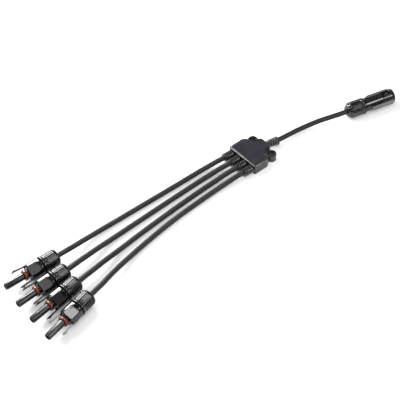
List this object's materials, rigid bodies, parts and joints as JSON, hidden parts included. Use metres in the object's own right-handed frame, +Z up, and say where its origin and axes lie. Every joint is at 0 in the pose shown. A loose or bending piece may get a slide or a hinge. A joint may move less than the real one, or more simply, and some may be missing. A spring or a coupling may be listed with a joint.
{
  "type": "solar cable branch connector",
  "caption": "Flat moulded hub that joins several sealed solar cable plugs on branch leads to one socketed plug on a trunk lead, with screw cap nuts and snap fingers.",
  "frame": {"origin": "under the middle of the hub, on the surface that everything lies on", "axes": "+X from the hub along the trunk lead, +Y to the side of branch 1, +Z up"},
  "size_m": [0.4954, 0.0916, 0.019],
  "materials": {
    "hub_shell": "satin moulded",
    "hub_panel": "fine texture",
    "plug_black": "glossy moulded",
    "lead_jacket": "matte jacket",
    "cage_grey": "moulded",
    "seal_grey": "soft moulded",
    "seal_red": "silicone",
    "copper": "bare copper",
    "tinned": "tin plated"
  },
  "bodies": {
    "hub_and_leads": {"hub_base": "hub_shell", "hub_cover": "hub_shell", "hub_panel": "hub_panel", "copper_busbar": "copper", "branch_1_gland_seal": "seal_grey", "branch_1_lead": "lead_jacket", "branch_1_strain_relief": "hub_shell", "branch_1_ferrule": "copper", "branch_1_housing": "plug_black", "branch_1_seal_ring": "seal_red", "branch_1_socket_contact": "tinned", "branch_2_gland_seal": "seal_grey", "branch_2_lead": "lead_jacket", "branch_2_strain_relief": "hub_shell", "branch_2_ferrule": "copper", "branch_2_housing": "plug_black", "branch_2_seal_ring": "seal_red", "branch_2_socket_contact": "tinned", "branch_3_gland_seal": "seal_grey", "branch_3_lead": "lead_jacket", "branch_3_strain_relief": "hub_shell", "branch_3_ferrule": "copper", "branch_3_housing": "plug_black", "branch_3_seal_ring": "seal_red", "branch_3_socket_contact": "tinned", "branch_4_gland_seal": "seal_grey", "branch_4_lead": "lead_jacket", "branch_4_strain_relief": "hub_shell", "branch_4_ferrule": "copper", "branch_4_housing": "plug_black", "branch_4_seal_ring": "seal_red", "branch_4_socket_contact": "tinned", "trunk_gland_seal": "seal_grey", "trunk_lead": "lead_jacket", "trunk_strain_relief": "hub_shell", "trunk_ferrule": "copper", "trunk_pin_contact": "tinned", "trunk_shell": "plug_black"},
    "branch_1_cage": {"branch_1_clamp_cage": "cage_grey"},
    "branch_1_nut": {"branch_1_cap_nut": "plug_black"},
    "branch_1_left_finger": {"branch_1_finger_left": "plug_black"},
    "branch_1_right_finger": {"branch_1_finger_right": "plug_black"},
    "branch_2_cage": {"branch_2_clamp_cage": "cage_grey"},
    "branch_2_nut": {"branch_2_cap_nut": "plug_black"},
    "branch_2_left_finger": {"branch_2_finger_left": "plug_black"},
    "branch_2_right_finger": {"branch_2_finger_right": "plug_black"},
    "branch_3_cage": {"branch_3_clamp_cage": "cage_grey"},
    "branch_3_nut": {"branch_3_cap_nut": "plug_black"},
    "branch_3_left_finger": {"branch_3_finger_left": "plug_black"},
    "branch_3_right_finger": {"branch_3_finger_right": "plug_black"},
    "branch_4_cage": {"branch_4_clamp_cage": "cage_grey"},
    "branch_4_nut": {"branch_4_cap_nut": "plug_black"},
    "branch_4_left_finger": {"branch_4_finger_left": "plug_black"},
    "branch_4_right_finger": {"branch_4_finger_right": "plug_black"},
    "trunk_cage": {"trunk_clamp_cage": "cage_grey"},
    "trunk_nut": {"trunk_cap_nut": "plug_black"}
  },
  "joints": [
    {"name": "branch_1_nut_travel", "type": "slide", "parent": "hub_and_leads", "child": "branch_1_cage", "axis": [0.9997, -0.0262, 0], "range_m": [0, 0.006]},
    {"name": "branch_1_nut_turn", "type": "hinge", "parent": "branch_1_cage", "child": "branch_1_nut", "pos_m": [-0.2539, 0.02103, 0.0095], "axis": [0.9997, -0.0262, 0], "range_deg": [0, 1440]},
    {"name": "branch_1_left_finger_flex", "type": "hinge", "parent": "hub_and_leads", "child": "branch_1_left_finger", "pos_m": [-0.27797, 0.01486, 0.00588], "axis": [0.0123, 0.4693, -0.8829], "range_deg": [0, 5], "stiffness_Nm_per_rad": 0.05},
    {"name": "branch_1_right_finger_flex", "type": "hinge", "parent": "hub_and_leads", "child": "branch_1_right_finger", "pos_m": [-0.27761, 0.02845, 0.01311], "axis": [-0.0123, -0.4693, 0.8829], "range_deg": [0, 5], "stiffness_Nm_per_rad": 0.05},
    {"name": "branch_2_nut_travel", "type": "slide", "parent": "hub_and_leads", "child": "branch_2_cage", "axis": [0.9986, 0.0523, 0], "range_m": [0, 0.006]},
    {"name": "branch_2_nut_turn", "type": "hinge", "parent": "branch_2_cage", "child": "branch_2_nut", "pos_m": [-0.25739, 0.00004, 0.0095], "axis": [0.9986, 0.0523, 0], "range_deg": [0, 1440]},
    {"name": "branch_2_left_finger_flex", "type": "hinge", "parent": "hub_and_leads", "child": "branch_2_left_finger", "pos_m": [-0.28091, -0.008, 0.00588], "axis": [-0.0246, 0.4688, -0.8829], "range_deg": [0, 5], "stiffness_Nm_per_rad": 0.05},
    {"name": "branch_2_right_finger_flex", "type": "hinge", "parent": "hub_and_leads", "child": "branch_2_right_finger", "pos_m": [-0.28162, 0.00558, 0.01311], "axis": [0.0246, -0.4688, 0.8829], "range_deg": [0, 5], "stiffness_Nm_per_rad": 0.05},
    {"name": "branch_3_nut_travel", "type": "slide", "parent": "hub_and_leads", "child": "branch_3_cage", "axis": [0.9912, 0.1323, 0], "range_m": [0, 0.006]},
    {"name": "branch_3_nut_turn", "type": "hinge", "parent": "branch_3_cage", "child": "branch_3_nut", "pos_m": [-0.25876, -0.01976, 0.0095], "axis": [0.9912, 0.1323, 0], "range_deg": [0, 1440]},
    {"name": "branch_3_left_finger_flex", "type": "hinge", "parent": "hub_and_leads", "child": "branch_3_left_finger", "pos_m": [-0.2816, -0.02925, 0.00519], "axis": [-0.074, 0.5543, -0.829], "range_deg": [0, 5], "stiffness_Nm_per_rad": 0.05},
    {"name": "branch_3_right_finger_flex", "type": "hinge", "parent": "hub_and_leads", "child": "branch_3_right_finger", "pos_m": [-0.28329, -0.01659, 0.01381], "axis": [0.074, -0.5543, 0.829], "range_deg": [0, 5], "stiffness_Nm_per_rad": 0.05},
    {"name": "branch_4_nut_travel", "type": "slide", "parent": "hub_and_leads", "child": "branch_4_cage", "axis": [0.9781, 0.2079, 0], "range_m": [0, 0.006]},
    {"name": "branch_4_nut_turn", "type": "hinge", "parent": "branch_4_cage", "child": "branch_4_nut", "pos_m": [-0.26029, -0.04134, 0.0095], "axis": [0.9781, 0.2079, 0], "range_deg": [0, 1440]},
    {"name": "branch_4_left_finger_flex", "type": "hinge", "parent": "hub_and_leads", "child": "branch_4_left_finger", "pos_m": [-0.28216, -0.05339, 0.00687], "axis": [-0.0711, 0.3345, -0.9397], "range_deg": [0, 5], "stiffness_Nm_per_rad": 0.05},
    {"name": "branch_4_right_finger_flex", "type": "hinge", "parent": "hub_and_leads", "child": "branch_4_right_finger", "pos_m": [-0.28517, -0.03923, 0.01213], "axis": [0.0711, -0.3345, 0.9397], "range_deg": [0, 5], "stiffness_Nm_per_rad": 0.05},
    {"name": "trunk_nut_travel", "type": "slide", "parent": "hub_and_leads", "child": "trunk_cage", "axis": [-0.9677, 0.2521, 0], "range_m": [0, 0.006]},
    {"name": "trunk_nut_turn", "type": "hinge", "parent": "trunk_cage", "child": "trunk_nut", "pos_m": [0.12424, -0.02496, 0.0095], "axis": [-0.9677, 0.2521, 0], "range_deg": [0, 1440]}
  ],
  "couplings": [
    {"joint": "branch_1_nut_travel", "follows": "branch_1_nut_turn", "m_per_rad": 0.00023873},
    {"joint": "branch_2_nut_travel", "follows": "branch_2_nut_turn", "m_per_rad": 0.00023873},
    {"joint": "branch_3_nut_travel", "follows": "branch_3_nut_turn", "m_per_rad": 0.00023873},
    {"joint": "branch_4_nut_travel", "follows": "branch_4_nut_turn", "m_per_rad": 0.00023873},
    {"joint": "trunk_nut_travel", "follows": "trunk_nut_turn", "m_per_rad": 0.00023873}
  ]
}
